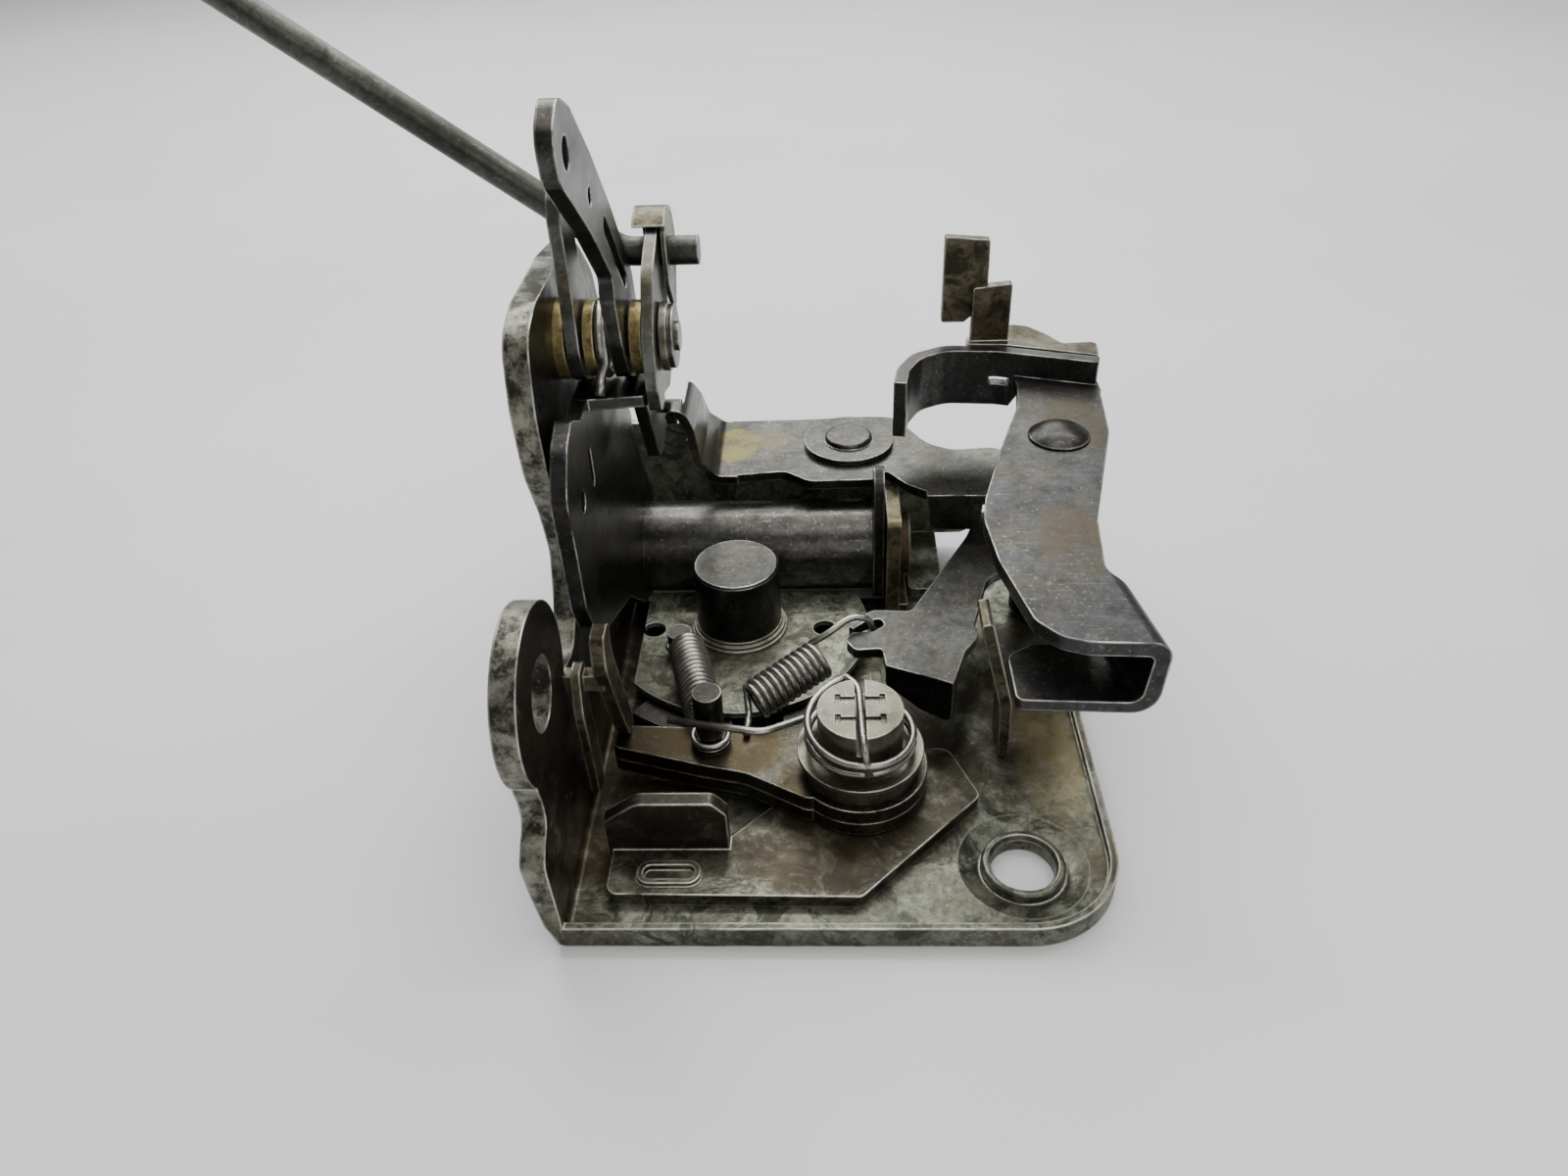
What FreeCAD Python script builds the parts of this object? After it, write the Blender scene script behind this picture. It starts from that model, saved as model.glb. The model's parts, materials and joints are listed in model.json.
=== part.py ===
import FreeCAD, Part
import math
import os

os.makedirs("parts", exist_ok=True)

# Pressed-steel door lock mechanism, millimetres, +Z up.
# The lock lies on the outer side of its face plate. While it is drawn, X runs along the
# plate's front edge, Y towards the rear and the plate's front left corner is the zero point.
# Every node is moved to the row frame when it is written: there the zero point is the
# centre of the fixing hole on the seating face.
V = FreeCAD.Vector

# ---- face plate and flange ----
PLATE_W = 69.0            # face plate, left to right
PLATE_D = 65.7            # face plate, front to rear at the left
LUG_X = 44.0              # the right part of the plate runs further back
LUG_D = 72.0
LUG_R = 6.2                # round lug that carries the lever post
PLATE_T = 2.0
RIM_H = 3.3               # stiffening rim at the front and right edges
RIM_W = 1.0
CORNER_R = 12.0
FIX_X, FIX_Y, FIX_R = 57.3, 10.6, 4.0
SEAT_TOP, BOSS_TOP = 1.8, 2.5   # top of the fixing hole's straight wall and of its flared lip
FLANGE_IN = 0.5           # inner and outer face of the flange's upper part
FLANGE_OUT = -2.5
PLATE_X = 0.5             # left end of the flat plate, where the flange bends up
EAR_Y, EAR_Z, EAR_R, EAR_HOLE_R = 13.0, 29.3, 10.8, 4.4

# ---- claw and pawl ----
CLAW_X, CLAW_Y = 19.4, 55.2
CLAW_Z0, CLAW_Z1 = 2.3, 3.8
CLAW_RIM_R, CLAW_LOBE_R, CLAW_HUB_R = 23.5, 25.6, 7.2
DECK_Z0, DECK_Z1, DECK_R = 4.1, 5.0, 20.0
PEG_R, PEG_TOP, PEG_SHANK_R = 6.5, 17.0, 4.0
COLLAR_TOP = 6.8
STUD_X, STUD_Y = 37.2, 22.2
STUD_R, STUD_HEAD_R, STUD_TOP = 4.0, 5.5, 18.0
PAWL_Z = (4.3, 6.3, 6.4, 8.5)              # backing lamination, then pawl lamination
PAWL_HUB_R = 8.75
PIN_X, PIN_Y, PIN_R, PIN_TOP = 17.4, 26.0, 1.95, 17.5
COIL_R, COIL_WIRE, COIL_Z = 6.75, 1.0, 12.2
POST2_X, POST2_Y = 10.9, 48.4              # small spring post on the cover

# ---- release lever and outer handle lever, one vertical axis ----
POST_X, POST_Y, POST_R = 66.8, 61.9, 3.0
SPACER_R = 4.6
REL_Z0, REL_Z1 = 13.4, 15.0
OUT_Z0, OUT_Z1 = 32.0, 34.0
CHANNEL_Z0, CHANNEL_Z1 = 23.4, 25.0
BAND_Z0, BAND_Z1, BAND_T = 28.6, 37.8, 2.0

# ---- transfer arm ----
ARM_X, ARM_Y = 36.9, 82.0
ARM_Z0, ARM_Z1 = 20.4, 22.0
ARM_SHANK_R = 3.0

# ---- locking tube and crank, one axis along X ----
TUBE_Y, TUBE_Z, TUBE_R = 69.5, 10.5, 7.4
TUBE_X0, TUBE_X1 = 4.0, 40.4
TUBE_SHAFT_R = 2.5
CRANK_X0, CRANK_X1 = 2.0, 4.0
CAM_X1 = 42.0
BEAR_X0, BEAR_X1 = 42.4, 44.6

# ---- lever stack, one axis along X ----
STACK_Y, STACK_Z, STACK_R = 48.0, 57.0, 2.5
KEY_X = (2.2, 3.8)
INSIDE_X = (7.6, 9.4)
HANDLE_HOLE_Y, HANDLE_HOLE_Z = 26.3, 85.2
LOCK_X = (11.5, 13.0)
STACK_END_X = 15.4

# ---- pull rod ----
ROD_Y, ROD_Z, ROD_R = 57.0, 64.5, 1.8
ROD_STUB_X, ROD_BEND_X = 17.6, 8.0
ROD_DIR = V(-0.807, 0.0, 0.591)
ROD_LENGTH, ROD_THREAD = 118.0, 22.0
ROD_BEND_R = 5.0

RUN = 0.05                # radial clearance of a running fit


def rounded(points, radius):
    """Closed wire through points (3-D vectors in one plane), corners rounded by radius.
    radius is one number or one per point."""
    n = len(points)
    radii = radius if isinstance(radius, (list, tuple)) else [radius] * n
    starts, ends = [], []
    for i in range(n):
        p, a, b = points[i], points[i - 1] - points[i], points[(i + 1) % n] - points[i]
        half = a.getAngle(b) / 2
        reach = min(radii[i] / math.tan(half), 0.45 * a.Length, 0.45 * b.Length)
        reach = reach if reach > 0.02 else 0.0
        starts.append(p + a.normalize() * reach)
        ends.append(p + b.normalize() * reach)
    edges = []
    for i in range(n):
        s, e, p = starts[i], ends[i], points[i]
        if (s - e).Length > 1e-4:
            a, b = s - p, e - p
            half = a.getAngle(b) / 2
            r = a.Length * math.tan(half)
            centre = p + (a + b).normalize() * (r / math.sin(half))
            middle = centre + (p - centre).normalize() * r
            edges.append(Part.Arc(s, middle, e).toShape())
        nxt = starts[(i + 1) % n]
        if (nxt - e).Length > 1e-4:
            edges.append(Part.LineSegment(e, nxt).toShape())
    return Part.Wire(Part.__sortEdges__(edges))


def flat(outline, z0, z1, radius=0.6):
    """Plate lying flat: outline in X, Y."""
    wire = rounded([V(x, y, z0) for x, y in outline], radius)
    return Part.Face(wire).extrude(V(0, 0, z1 - z0))


def upright(outline, x0, x1, radius=0.6):
    """Plate standing in the Y, Z plane."""
    wire = rounded([V(x0, y, z) for y, z in outline], radius)
    return Part.Face(wire).extrude(V(x1 - x0, 0, 0))


def facing(outline, y0, y1, radius=0.3):
    """Plate standing in the X, Z plane."""
    wire = rounded([V(x, y0, z) for x, z in outline], radius)
    return Part.Face(wire).extrude(V(0, y1 - y0, 0))


def post(x, y, r, z0, z1):
    return Part.makeCylinder(r, z1 - z0, V(x, y, z0))


def axle(y, z, r, x0, x1):
    return Part.makeCylinder(r, x1 - x0, V(x0, y, z), V(1, 0, 0))


def ring(x, y, r_in, r_out, z0, z1):
    return post(x, y, r_out, z0, z1).cut(post(x, y, r_in, z0 - 1, z1 + 1))


def axle_ring(y, z, r_in, r_out, x0, x1):
    return axle(y, z, r_out, x0, x1).cut(axle(y, z, r_in, x0 - 1, x1 + 1))


def ribbon(path, radius, thickness, z0, z1):
    """Sheet on edge: follows path in X, Y between two heights, rounded at its corners."""
    def line(offset):
        pts = []
        for i, (x, y) in enumerate(path):
            before = path[max(i - 1, 0)]
            after = path[min(i + 1, len(path) - 1)]
            t_in = V(x - before[0], y - before[1], 0)
            t_out = V(after[0] - x, after[1] - y, 0)
            t_in = t_in.normalize() if t_in.Length > 0 else t_out.normalize()
            t_out = t_out.normalize() if t_out.Length > 0 else t_in
            mean = (t_in + t_out).normalize()
            stretch = offset / max(mean.dot(t_in), 0.4)
            pts.append(V(x - mean.y * stretch, y + mean.x * stretch, z0))
        return pts
    left, right = line(thickness / 2), line(-thickness / 2)
    radii = [0.1] + [radius] * (len(path) - 2) + [0.1]
    wire = rounded(left + right[::-1], radii + radii[::-1])
    return Part.Face(wire).extrude(V(0, 0, z1 - z0))


def fuse(*shapes):
    return shapes[0].multiFuse(list(shapes[1:])).removeSplitter()


def rod_between(a, b, r):
    return Part.makeCylinder(r, (b - a).Length, a, b - a)


def coil(centre, axis, turns, radius, wire_d, pitch):
    """Helical wire whose middle is at centre, wound about axis."""
    height = turns * pitch
    helix = Part.makeHelix(pitch, height, radius)
    section = Part.Wire(Part.makeCircle(wire_d / 2, V(radius, 0, 0), V(0, 1, 0)))
    body = Part.Wire(helix.Edges).makePipeShell([section], True, True)
    body.translate(V(0, 0, -height / 2))
    body.Placement = FreeCAD.Placement(centre, FreeCAD.Rotation(V(0, 0, 1), axis)) * body.Placement
    return body


NODES = {}


def add(name, shape):
    NODES[name] = shape


def case_plate():
    """Face plate, its rim and the side flange: one bent pressing."""
    outline = [(PLATE_X, 0), (PLATE_W, 0), (PLATE_W, LUG_D), (LUG_X, LUG_D),
               (LUG_X, PLATE_D), (PLATE_X, PLATE_D)]
    radii = [0.8, CORNER_R, CORNER_R, 3, 3, 0.8]
    plate = flat(outline, 0, PLATE_T, radii)
    lug = post(POST_X, POST_Y, LUG_R, 0, PLATE_T)
    rim_outer = flat(outline, 0, RIM_H, radii)
    inside = [(-5, RIM_W), (PLATE_W - RIM_W, RIM_W), (PLATE_W - RIM_W, LUG_D + 9), (-5, LUG_D + 9)]
    rim = rim_outer.cut(flat(inside, -1, RIM_H + 1, [1, CORNER_R - RIM_W, 1, 1]))
    rim = rim.common(Part.makeBox(PLATE_W, POST_Y - LUG_R - 1, 9, V(0, 0, -1)))
    flange_outline = [(0, 0), (0.3, 9), (1.0, 13.2), (2.8, 14.6), (5.2, 16.2), (5.3, 19.4), (4.4, 23),
                      (24, 24), (28, 22.8), (33, 26), (36, 33), (34.5, 40), (31.5, 47), (31, 55.6),
                      (33, 63.6), (39, 65.3), (54, 65.3), (63.5, 64), (71, 57), (77, 40), (86, 26), (86, 6),
                      (80, 3), (PLATE_D, 2.6), (PLATE_D, 0)]
    flange_radii = [0.3, 8, 2, 2, 3, 4, 1, 4, 4, 5, 5, 6, 6, 6, 6, 5, 8, 8, 8, 8, 5, 3, 3, 0.3, 0.3]
    side = upright(flange_outline, FLANGE_OUT - 1, 4, flange_radii)
    side = side.fuse(axle(EAR_Y, EAR_Z, EAR_R, FLANGE_OUT - 1, 4))
    section = [(PLATE_X, 0), (3, 0), (3, PLATE_T), (1.3, PLATE_T), (1.0, 8.5), (FLANGE_IN, 14),
               (FLANGE_IN, 70), (FLANGE_OUT, 70), (FLANGE_OUT, 13.5), (-1.7, 8.5), (-1.0, 3.7)]
    sheet = facing(section, -1, 90, [0.8, 0.1, 0.1, 0.8, 6, 4, 0.1, 0.1, 4, 6, 3])
    case = fuse(plate, lug, rim, side.common(sheet))
    cutters = [
        fixing_groove(),
        flat([(7, 30.5), (25, 30.5), (25, 38), (7, 38)], -1, PLATE_T + 1, 3.6),
        axle(EAR_Y, EAR_Z, EAR_HOLE_R, FLANGE_OUT - 2, 5),
        axle(STACK_Y, STACK_Z, STACK_R, FLANGE_OUT - 2, 5),
        axle(TUBE_Y, TUBE_Z, TUBE_SHAFT_R, FLANGE_OUT - 2, 5),
        post(CLAW_X, CLAW_Y, PEG_SHANK_R, -1, 5),
        post(STUD_X, STUD_Y, STUD_R, -1, 5),
        post(POST_X, POST_Y, POST_R, -1, 9),
    ]
    case = case.cut(Part.makeCompound(cutters))
    lip = ring(FIX_X, FIX_Y, FIX_R, FIX_R + 1.3, 0, BOSS_TOP)
    crown = [e for e in lip.Edges if abs(e.BoundBox.ZMin - BOSS_TOP) < 0.01 and e.Curve.Radius > FIX_R + 1]
    flare = Part.makeCone(FIX_R, FIX_R + 0.4, BOSS_TOP - SEAT_TOP, V(FIX_X, FIX_Y, SEAT_TOP))
    return fuse(case.cut(post(FIX_X, FIX_Y, FIX_R, -1, 5)), lip.makeFillet(0.6, crown)).cut(flare)


def fixing_groove():
    """Ring-shaped dish round the fixing hole's lip."""
    profile = [V(FIX_X + 4.8, FIX_Y, 1.0), V(FIX_X + 5.6, FIX_Y, 1.0), V(FIX_X + 8.2, FIX_Y, PLATE_T + 0.02),
               V(FIX_X + 8.2, FIX_Y, 5), V(FIX_X + 4.8, FIX_Y, 5)]
    face = Part.Face(Part.makePolygon(profile + profile[:1]))
    return face.revolve(V(FIX_X, FIX_Y, 0), V(0, 0, 1), 360)


def reinforcement():
    """Doubler on the face plate: pressed bead, bent-up stop tab, pivot stud hole."""
    outline = [(5.7, 4.6), (37, 4.1), (53, 20.3), (49.5, 29), (31, 29), (27, 20), (20.5, 13.5),
               (5.7, 13.5)]
    z0, z1 = PLATE_T, PLATE_T + 2
    sheet = flat(outline, z0, z1, [1.5, 1.5, 1.5, 2, 2, 3, 1, 0.5])
    bead = flat([(9.3, 5.7), (17.2, 5.7), (17.2, 9.3), (9.3, 9.3)], z1 - 0.2, z1 + 0.6, 1.7)
    dent = flat([(10.1, 6.5), (16.4, 6.5), (16.4, 8.5), (10.1, 8.5)], z1 - 0.3, z1 + 2, 0.9)
    tab = facing([(5, z0), (20.5, z0), (20.5, 10.2), (18.8, 12.2), (9.2, 12.2), (5, 9.0)],
                 11.5, 13.5, [0.2, 0.2, 1.2, 1.2, 2.5, 1.0])
    whole = fuse(sheet, bead, tab).cut(dent)
    return whole.cut(post(STUD_X, STUD_Y, STUD_R, 0, 9))


def deck():
    """Zinc cover over the claw, standing on two feet."""
    disc = post(CLAW_X, CLAW_Y, DECK_R, DECK_Z0, DECK_Z1)
    sheet = disc.common(Part.makeBox(37.0, 28.7, 3, V(4.4, 35.2, DECK_Z0 - 1)))
    rear_foot = Part.makeBox(16, 1.1, DECK_Z0 - PLATE_T + 0.4, V(12, 62.8, PLATE_T))
    whole = fuse(sheet, rear_foot)
    for x in (CLAW_X - 13.4, CLAW_X + 13.2):
        whole = whole.cut(post(x, CLAW_Y - 0.8, 1.75, DECK_Z0 - 1, DECK_Z1 + 1))
    whole = whole.cut(post(POST2_X, POST2_Y, 1.0, DECK_Z0 - 1, DECK_Z1 + 1))
    return whole.cut(post(CLAW_X, CLAW_Y, PEG_SHANK_R, 0, 9))


def peg():
    """Claw pivot post: riveted shank and large round head."""
    shank = post(CLAW_X, CLAW_Y, PEG_SHANK_R, 0, COLLAR_TOP)
    head = post(CLAW_X, CLAW_Y, PEG_R, COLLAR_TOP, PEG_TOP)
    rim = [e for e in head.Edges if abs(e.BoundBox.ZMin - PEG_TOP) < 0.01]
    return fuse(shank, head.makeChamfer(0.35, rim))


def peg_collar():
    """Stepped collar under the head of the claw pivot post."""
    return fuse(ring(CLAW_X, CLAW_Y, PEG_SHANK_R, PEG_R + 0.9, DECK_Z1, DECK_Z1 + 0.6),
                ring(CLAW_X, CLAW_Y, PEG_SHANK_R, PEG_R + 0.6, DECK_Z1 + 0.6, DECK_Z1 + 1.2),
                ring(CLAW_X, CLAW_Y, PEG_SHANK_R, PEG_R + 0.2, DECK_Z1 + 1.2, COLLAR_TOP))


def sector(x, y, r, a0, a1, z0, z1):
    """Round sector between two angles in degrees."""
    body = Part.makeCylinder(r, z1 - z0, V(0, 0, 0), V(0, 0, 1), a1 - a0)
    body.Placement = FreeCAD.Placement(V(x, y, z0), FreeCAD.Rotation(V(0, 0, 1), a0))
    return body


def claw():
    """Rotary claw: striker mouth between a catch lobe and a second arm."""
    hub = post(CLAW_X, CLAW_Y, CLAW_HUB_R, CLAW_Z0, CLAW_Z1)
    rim = sector(CLAW_X, CLAW_Y, CLAW_RIM_R, 231, 314, CLAW_Z0, CLAW_Z1)
    lobe = sector(CLAW_X, CLAW_Y, CLAW_LOBE_R, 252, 268, CLAW_Z0, CLAW_Z1)
    mouth = Part.makeBox(30, 7.4, 4, V(13.0, -3.7, CLAW_Z0 - 1))
    mouth = mouth.fuse(post(13.0, 0, 3.7, CLAW_Z0 - 1, CLAW_Z0 + 3))
    mouth.Placement = FreeCAD.Placement(V(CLAW_X, CLAW_Y, 0), FreeCAD.Rotation(V(0, 0, 1), 280))
    body = fuse(hub, rim, lobe).cut(mouth)
    return body.cut(post(CLAW_X, CLAW_Y, PEG_SHANK_R + RUN, 0, 9))


def pawl_stud():
    """Shouldered stud; its round head is slotted for the end of the torsion spring."""
    body = fuse(post(STUD_X, STUD_Y, STUD_R, 0, 11.5), post(STUD_X, STUD_Y, STUD_HEAD_R, 11.5, STUD_TOP))
    marks = [Part.makeBox(1.3, 14, 3.2, V(STUD_X - 0.65, STUD_Y - 7, STUD_TOP - 3.0))]
    for y in (-2.2, 1.5):
        marks.append(Part.makeBox(6.4, 0.7, 1, V(STUD_X - 3.2, STUD_Y + y, STUD_TOP - 0.5)))
        for x in (-3.2, 2.5):
            marks.append(Part.makeBox(0.7, 1.7, 1, V(STUD_X + x, STUD_Y + y - 0.5, STUD_TOP - 0.5)))
    return body.cut(Part.makeCompound(marks))


def pawl_outline():
    return [(4.0, 25.3), (16, 21.8), (22.2, 20.3), (32, 14.9), (36, 30.8), (29.5, 29.2),
            (19.6, 28.5), (11.2, 29), (4.2, 29.3)]


def pawl_lamination(z0, z1):
    body = fuse(flat(pawl_outline(), z0, z1, [1.4, 6, 6, 2, 2, 4, 8, 6, 1.4]),
                post(STUD_X, STUD_Y, PAWL_HUB_R, z0, z1))
    return body.cut(Part.makeCompound([post(STUD_X, STUD_Y, STUD_R + RUN, 0, 12),
                                       post(PIN_X, PIN_Y, 1.4, 0, 12)]))


def pawl():
    """Upper pawl lamination with the finger that the release lever pushes."""
    body = pawl_lamination(PAWL_Z[2], PAWL_Z[3])
    arm = Part.makeBox(3.6, 7.2, PAWL_Z[3] - PAWL_Z[2], V(36.8, 28.0, PAWL_Z[2]))
    finger = Part.makeBox(1.6, 2.6, 4.4, V(38.8, 32.6, PAWL_Z[3]))
    return fuse(body, arm, finger)


def pawl_backing():
    """Lower pawl lamination with the tooth that catches the claw."""
    body = pawl_lamination(PAWL_Z[0], PAWL_Z[1])
    tooth = flat([(19.0, 23.6), (23.3, 23.0), (23.3, 28.6), (19.0, 28.9)], CLAW_Z0, PAWL_Z[0] + 0.5, 0.4)
    return fuse(body, tooth)


def pawl_pin():
    """Shouldered pin with a spring groove near its foot."""
    return fuse(post(PIN_X, PIN_Y, 1.4, PAWL_Z[0], PAWL_Z[3]),
                post(PIN_X, PIN_Y, PIN_R + 0.7, PAWL_Z[3], PAWL_Z[3] + 0.8),
                post(PIN_X, PIN_Y, PIN_R - 0.45, PAWL_Z[3] + 0.8, PAWL_Z[3] + 2.0),
                post(PIN_X, PIN_Y, PIN_R, PAWL_Z[3] + 2.0, PIN_TOP))


def wire_path(points, radius):
    """Round wire through straight runs, a ball at each bend."""
    pieces = [rod_between(a, b, radius) for a, b in zip(points, points[1:])]
    pieces += [Part.makeSphere(radius, p) for p in points[1:-1]]
    return fuse(*pieces)


def torsion_spring():
    """Spring round the stud's head: one end in the head's slot, one leg before the pawl pin."""
    turns, pitch = 2.25, 1.05
    centre = V(STUD_X, STUD_Y, COIL_Z + turns * pitch / 2)
    body = coil(centre, V(0, 0, 1), turns, COIL_R, COIL_WIRE, pitch)
    leg = wire_path([V(STUD_X - 3.9, STUD_Y + 5.5, 13.1), V(24.6, 21.6, 14.5), V(12.4, 23.6, 14.9)],
                    COIL_WIRE / 2)
    hook = wire_path([V(STUD_X + 0.1, STUD_Y + COIL_R, 14.6), V(STUD_X, STUD_Y + 4.6, STUD_TOP - 0.4),
                      V(STUD_X, STUD_Y - 5.6, STUD_TOP - 0.4), V(STUD_X, STUD_Y - 6.3, 14.6)], COIL_WIRE / 2)
    return Part.makeCompound([body, leg, hook])


def pawl_return_spring():
    """Extension spring from the spring post to the pawl pin, a ring round each."""
    wire = 0.8
    a, b = V(12.3, 45.0, 9.2), V(16.0, 30.6, 10.4)
    post_ring = Part.makeTorus(1.95, wire / 2, V(POST2_X, POST2_Y, 6.3), V(0, 0, 1))
    pin_ring = Part.makeTorus(1.95, wire / 2, V(PIN_X, PIN_Y, 9.9), V(0, 0, 1))
    body = coil((a + b) * 0.5, b - a, 14, 2.3, wire, (b - a).Length / 14)
    arms = [wire_path([V(POST2_X + 0.5, POST2_Y - 1.9, 6.3), a], wire / 2),
            wire_path([V(PIN_X - 0.4, PIN_Y + 1.9, 9.9), b], wire / 2)]
    return Part.makeCompound([body, post_ring, pin_ring] + arms)


def release_lever_spring():
    """Extension spring from the pawl's back edge into the release lever's eye."""
    wire = 1.0
    a, b = V(23.0, 32.4, 10.0), V(32.2, 38.8, 12.2)
    body = coil((a + b) * 0.5, b - a, 11, 2.5, wire, (b - a).Length / 11)
    hook = wire_path([b, V(33.4, 40.2, 15.6), V(36.4, 42.3, 16.8), V(39.2, 42.8, 16.0), V(39.6, 42.6, 12.9)],
                     wire / 2)
    tail = wire_path([a, V(22.4, 30.4, 9.1), V(22.0, 26.8, 9.1)], wire / 2)
    return Part.makeCompound([body, hook, tail])


def release_lever():
    """Hooked sheet lever with a folded front flange, on the outer lever's post."""
    outline = [(41, 33.8), (49.8, 30), (52, 36.7), (54.2, 40), (53.8, 42.5), (57.4, 55), (66, 56),
               (72.4, 59), (72.4, 65), (67, 67.8), (62, 69), (57.5, 72.5), (55.2, 64.7),
               (45.2, 45.7), (39.4, 46.0), (36.1, 42.3), (36.8, 41.7), (38.3, 43.2), (40.6, 44.1),
               (41.3, 42.6), (39.6, 41.1), (36.4, 40.9), (35.7, 39.0), (36.9, 37.1), (40.6, 37.4),
               (40.9, 35.2)]
    radii = [0.3, 0.3, 1, 2, 2, 5, 6, 5, 5, 5, 6, 2.5, 20, 1.2, 2.0, 0.2, 0.2, 0.8, 0.7, 0.8, 0.6, 0.8,
             1.0, 1.0, 0.8, 0.4]
    sheet = flat(outline, REL_Z0, REL_Z1, radii)
    along = V(49.8 - 41, 30 - 33.8, 0).normalize()
    inward = V(-along.y, along.x, 0) * 1.6
    start = V(41, 33.8, 0)
    profile = [(0, REL_Z1), (9.6, REL_Z1), (9.6, 7.8), (5.4, 8.6), (0, 11.6)]
    corners = [start + along * reach + V(0, 0, z) for reach, z in profile]
    fold = Part.Face(rounded(corners, [0.3, 0.3, 1.0, 1.5, 0.8])).extrude(inward)
    return fuse(sheet, fold).cut(post(POST_X, POST_Y, POST_R + RUN, 0, 40))


def outer_lever():
    """Outer handle lever: flat plate, channel end for the handle plunger, upturned far edge."""
    outline = [(57, 19.6), (59.6, 16.6), (62.5, 15.575), (74.0, 15.0), (70.3, 26.0), (66.9, 28.8),
               (68.1, 40.1), (74.2, 62.8), (75.6, 77.9), (63.2, 78.8), (62.1, 71), (58.3, 59.4),
               (54.4, 45.7), (53.6, 40.5), (54.4, 31.2)]
    radii = [3, 3, 3, 0.4, 2.0, 3, 6, 12, 0.4, 0.4, 5, 12, 8, 8, 8]
    plan = flat(outline, CHANNEL_Z0, OUT_Z1, radii)
    lower_plan = flat([(55.2, 15.94), (74, 15.0), (71.3, 26.0), (58.4, 26.0), (55.2, 24)],
                      CHANNEL_Z0, CHANNEL_Z1 + 1.5, [1.0, 0.4, 0.4, 2, 2])
    web_plan = upright([(14, 20), (26.0, 20), (26.0, 31), (24.8, 36), (14, 36)], 67.5, 77,
                       [0.1, 1, 1.5, 1, 0.1])
    front_trim = flat([(40, 16.7), (80, 14.7), (80, 60), (40, 60)], 20, 40, 0.1)
    shell = facing([(40, CHANNEL_Z0), (71.4, CHANNEL_Z0), (72.1, OUT_Z1), (40, OUT_Z1)], 14.4, 14.6,
                   [0.1, 3.2, 2.2, 0.1])
    hollow = facing([(39, CHANNEL_Z1), (69.5, CHANNEL_Z1), (70.1, OUT_Z0), (39, OUT_Z0)], 14.4, 14.6,
                    [0.1, 1.6, 0.8, 0.1])
    slice_face = [f for f in shell.cut(hollow).Faces if abs(f.BoundBox.YMax - 14.4) < 0.01][0]
    channel = slice_face.extrude(V(-2.6, 14.4, 0)).common(front_trim)
    upper = channel.common(plan).common(Part.makeBox(60, 60, 9, V(40, 10, OUT_Z0 - 2)))
    lower = channel.common(lower_plan)
    web = channel.common(web_plan)
    top = flat(outline, OUT_Z0, OUT_Z1, radii).cut(Part.makeBox(60, 14, 9, V(40, 14.4, OUT_Z0 - 1)))
    band = ribbon([(75.4, 78.6), (67, 81.2), (60.5, 83.2), (52.4, 83.9), (47.6, 81.4),
                   (45.2, 76.6), (44.5, 72.2)], 5, BAND_T, BAND_Z0, BAND_Z1)
    taper = facing([(62, BAND_Z0 - 1), (80, BAND_Z0 - 1), (80, OUT_Z0), (64.5, OUT_Z0)], 70, 90, 0.3)
    apron = flat([(63.2, 76), (75.6, 75.5), (75.6, 79.2), (67, 81.8), (63.0, 82.9)], OUT_Z0, OUT_Z1, 0.3)
    slit = facing([(59.2, 32.2), (62.4, 32.2), (62.4, 33.5), (59.2, 33.5)], 75, 90, 0.4)
    trimmed = band.cut(Part.makeCompound([taper, slit]))
    return fuse(top, upper, web, lower, apron, trimmed).cut(post(POST_X, POST_Y, POST_R + RUN, 20, 40))


def trip_bracket():
    """Bracket welded behind the outer lever's upturned edge, with an upright tab."""
    shelf = flat([(55.9, 85.2), (61.3, 84.8), (67.3, 83.0), (75.6, 80.2), (76.2, 85.2), (70.7, 84.8),
                  (68.9, 88.2), (66.4, 91.4), (63.2, 92.8), (61.9, 87.8), (55.9, 87.8)],
                 BAND_Z1 - 1.6, BAND_Z1, [0.3, 0.3, 0.3, 0.3, 1, 1, 2, 2, 2, 0.3, 0.3])
    tab = facing([(56.4, BAND_Z1 - 1.6), (62.4, BAND_Z1 - 1.6), (62.4, 47.2), (56.4, 46.6)], 86.2, 87.8, 0.4)
    return fuse(shelf, tab)


def trip_paddle():
    """Strip riveted behind the bracket's tab; the trip link bears on it."""
    outline = [(51.8, 40.4), (55.4, 40.4), (58.8, 43.5), (58.8, 49.5), (58.7, 53.6), (51.8, 54.2)]
    return facing(outline, 87.8, 89.4, 0.4)


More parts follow.
